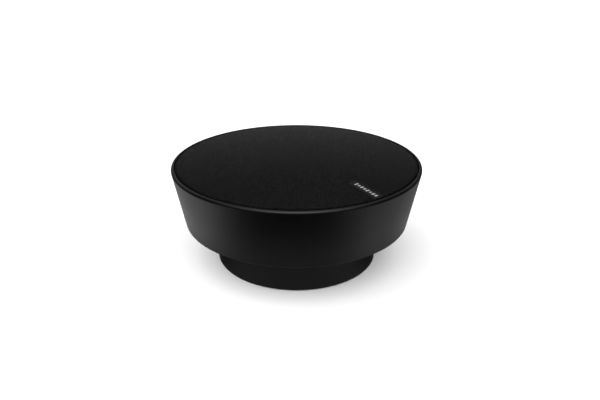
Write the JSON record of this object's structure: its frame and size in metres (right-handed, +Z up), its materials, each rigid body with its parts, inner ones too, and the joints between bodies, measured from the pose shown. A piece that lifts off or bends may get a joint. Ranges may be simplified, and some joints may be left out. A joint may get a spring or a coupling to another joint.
{
  "type": "portable bluetooth speaker",
  "caption": "Round tabletop wireless speaker: a bowl-shaped black cabinet with an upward-facing fabric grille, on a narrower round pedestal.",
  "frame": {"origin": "centre of the foot ring's resting face, on the axis of the cabinet", "axes": "+Z up along the axis of the cabinet, -Y towards the front, +X to the right seen from the front; controls and sockets are at +Y"},
  "size_m": [0.24, 0.24, 0.1014],
  "materials": {
    "shell_plastic": "fine-textured matte black, slightly satin",
    "pedestal_plastic": "matte black",
    "inner_plastic": "plain matt black, unseen parts",
    "grille_cloth": "fine black knit stretched over the grille",
    "tag_rubber": "satin black, with a small silver mark",
    "black_rubber": "soft matte",
    "foam": "open-cell foam gasket",
    "steel": "plated steel",
    "black_steel": "black powder coat",
    "ferrite": "dull dark grey ceramic",
    "cone_paper": "coated black paper pulp",
    "spider_cloth": "impregnated cotton",
    "dome_silk": "coated silk",
    "copper": "enamelled copper wire",
    "circuit_board": "green solder mask",
    "cell_wrap": "blue shrink sleeve",
    "clear_lens": "clear light pipe",
    "cable_skin": "black cable sheath"
  },
  "bodies": {
    "cabinet": {"bowl_shell": "shell_plastic", "baffle_plate": "inner_plastic", "baffle_gasket": "foam", "bass_port_right": "inner_plastic", "bass_port_left": "inner_plastic", "woofer_basket": "black_steel", "woofer_gasket": "foam", "woofer_top_plate": "steel", "woofer_magnet": "ferrite", "woofer_yoke": "steel", "woofer_surround": "black_rubber", "woofer_spider": "spider_cloth", "pedestal_shell": "pedestal_plastic", "pedestal_plate": "inner_plastic", "foot_ring": "black_rubber", "battery_pack": "cell_wrap", "battery_bracket": "black_steel", "main_board": "circuit_board", "wireless_module": "steel", "amplifier_heat_sink": "steel", "speaker_cable": "cable_skin", "status_led": "clear_lens", "button_board": "circuit_board", "socket_bay": "inner_plastic", "port_cover_pin": "steel", "usb_c_socket": "steel", "aux_jack": "inner_plastic", "socket_board": "circuit_board", "baffle_screw_1": "steel", "woofer_screw_1": "steel", "baffle_screw_2": "steel", "woofer_screw_2": "steel", "baffle_screw_3": "steel", "woofer_screw_3": "steel", "baffle_screw_4": "steel", "woofer_screw_4": "steel", "tweeter_body_1": "black_steel", "tweeter_dome_1": "dome_silk", "pedestal_screw_1": "steel", "plate_screw_1": "steel", "tweeter_body_2": "black_steel", "tweeter_dome_2": "dome_silk", "pedestal_screw_2": "steel", "plate_screw_2": "steel", "tweeter_body_3": "black_steel", "tweeter_dome_3": "dome_silk", "pedestal_screw_3": "steel", "plate_screw_3": "steel"},
    "grille": {"grille_frame": "inner_plastic", "grille_fabric": "grille_cloth", "label_tag": "tag_rubber"},
    "cone": {"woofer_cone": "cone_paper", "woofer_dust_cap": "cone_paper", "woofer_voice_coil": "copper"},
    "power_button": {"power_button": "shell_plastic"},
    "pairing_button": {"pairing_button": "shell_plastic"},
    "volume_down_button": {"volume_down_button": "shell_plastic"},
    "play_button": {"play_button": "shell_plastic"},
    "volume_up_button": {"volume_up_button": "shell_plastic"},
    "port_cover": {"port_cover": "black_rubber"}
  },
  "joints": [
    {"name": "grille_lift", "type": "slide", "parent": "cabinet", "child": "grille", "axis": [0, 0, 1], "range_m": [0, 0.12]},
    {"name": "woofer_travel", "type": "slide", "parent": "cabinet", "child": "cone", "axis": [0, 0, 1], "range_m": [-0.004, 0.004], "stiffness_N_per_m": 900, "deforming": ["woofer_surround", "woofer_spider"]},
    {"name": "power_press", "type": "slide", "parent": "cabinet", "child": "power_button", "axis": [0.3363, -0.924, 0.1821], "range_m": [0, 0.0005]},
    {"name": "pairing_press", "type": "slide", "parent": "cabinet", "child": "pairing_button", "axis": [0.1707, -0.9683, 0.1821], "range_m": [0, 0.0005]},
    {"name": "volume_down_press", "type": "slide", "parent": "cabinet", "child": "volume_down_button", "axis": [0, -0.9833, 0.1821], "range_m": [0, 0.0005]},
    {"name": "play_press", "type": "slide", "parent": "cabinet", "child": "play_button", "axis": [-0.1707, -0.9683, 0.1821], "range_m": [0, 0.0005]},
    {"name": "volume_up_press", "type": "slide", "parent": "cabinet", "child": "volume_up_button", "axis": [-0.3363, -0.924, 0.1821], "range_m": [0, 0.0005]},
    {"name": "port_cover_hinge", "type": "hinge", "parent": "cabinet", "child": "port_cover", "pos_m": [0, 0.10976, 0.0504], "axis": [-1, 0, 0], "range_deg": [0, 100], "stiffness_Nm_per_rad": 0.0005}
  ]
}
